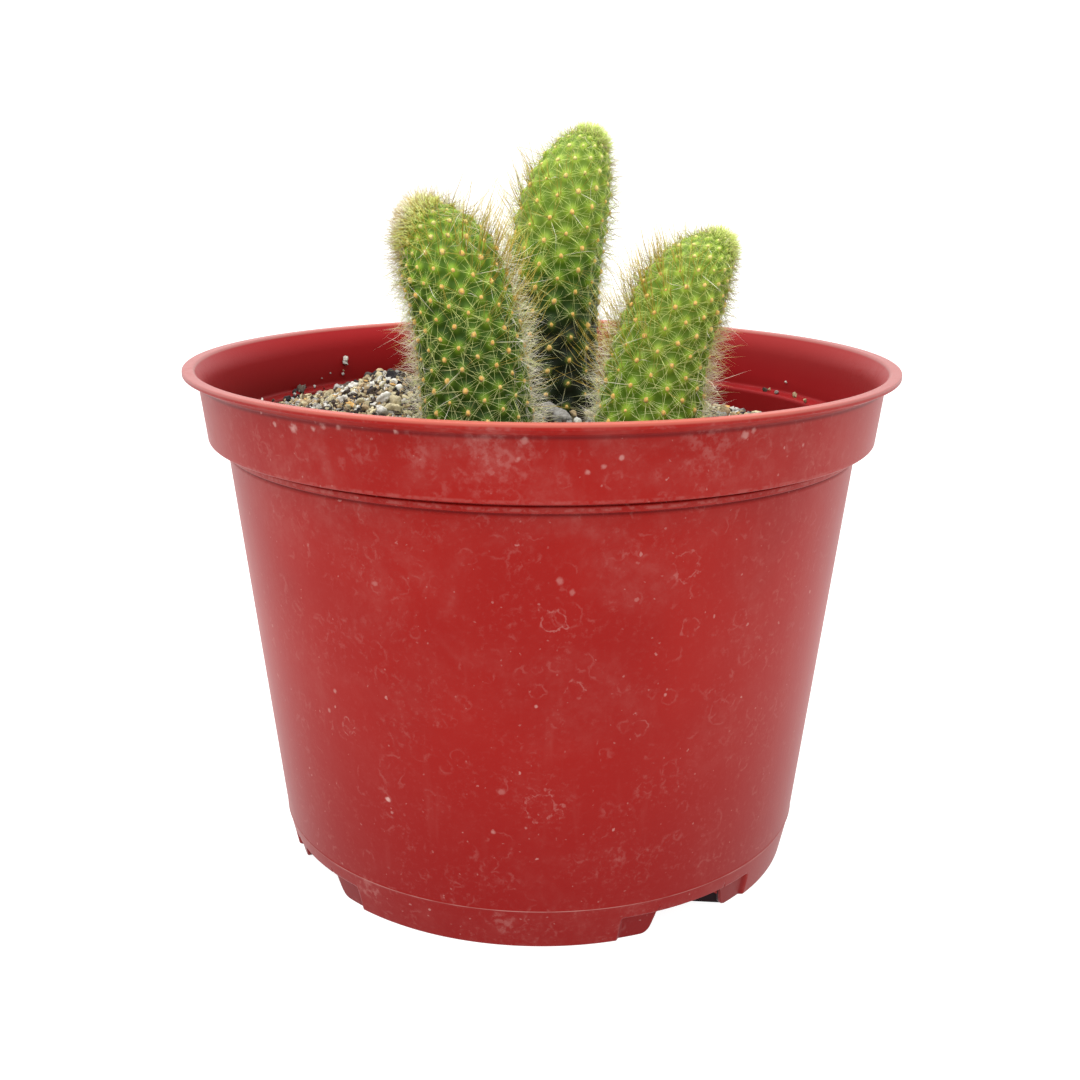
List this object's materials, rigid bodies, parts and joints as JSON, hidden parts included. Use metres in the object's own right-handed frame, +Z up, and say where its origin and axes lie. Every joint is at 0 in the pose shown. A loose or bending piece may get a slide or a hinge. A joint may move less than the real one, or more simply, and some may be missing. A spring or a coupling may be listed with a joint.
{
  "type": "potted foxtail cactus",
  "caption": "Short ribbed cactus stems covered in fine spines, standing in gritty soil in a tapered plastic nursery pot with a deep collar and slotted feet.",
  "frame": {"origin": "middle of the pot's base, on the surface the feet stand on", "axes": "+Z up along the pot's axis; -Y is the front, the side the picture shows; +X is to the right seen from the front"},
  "size_m": [0.152, 0.152, 0.1617],
  "materials": {
    "pot_plastic": "moulded red plastic, satin, with pale dust and scuffs",
    "soil_mix": "loose gritty potting mix of pumice, grit and bark",
    "stem_flesh": "waxy green plant skin under pale yellow spines"
  },
  "bodies": {
    "root": {"pot": "pot_plastic", "soil": "soil_mix", "stem_left": "stem_flesh", "stem_middle": "stem_flesh", "stem_right": "stem_flesh"}
  },
  "joints": []
}
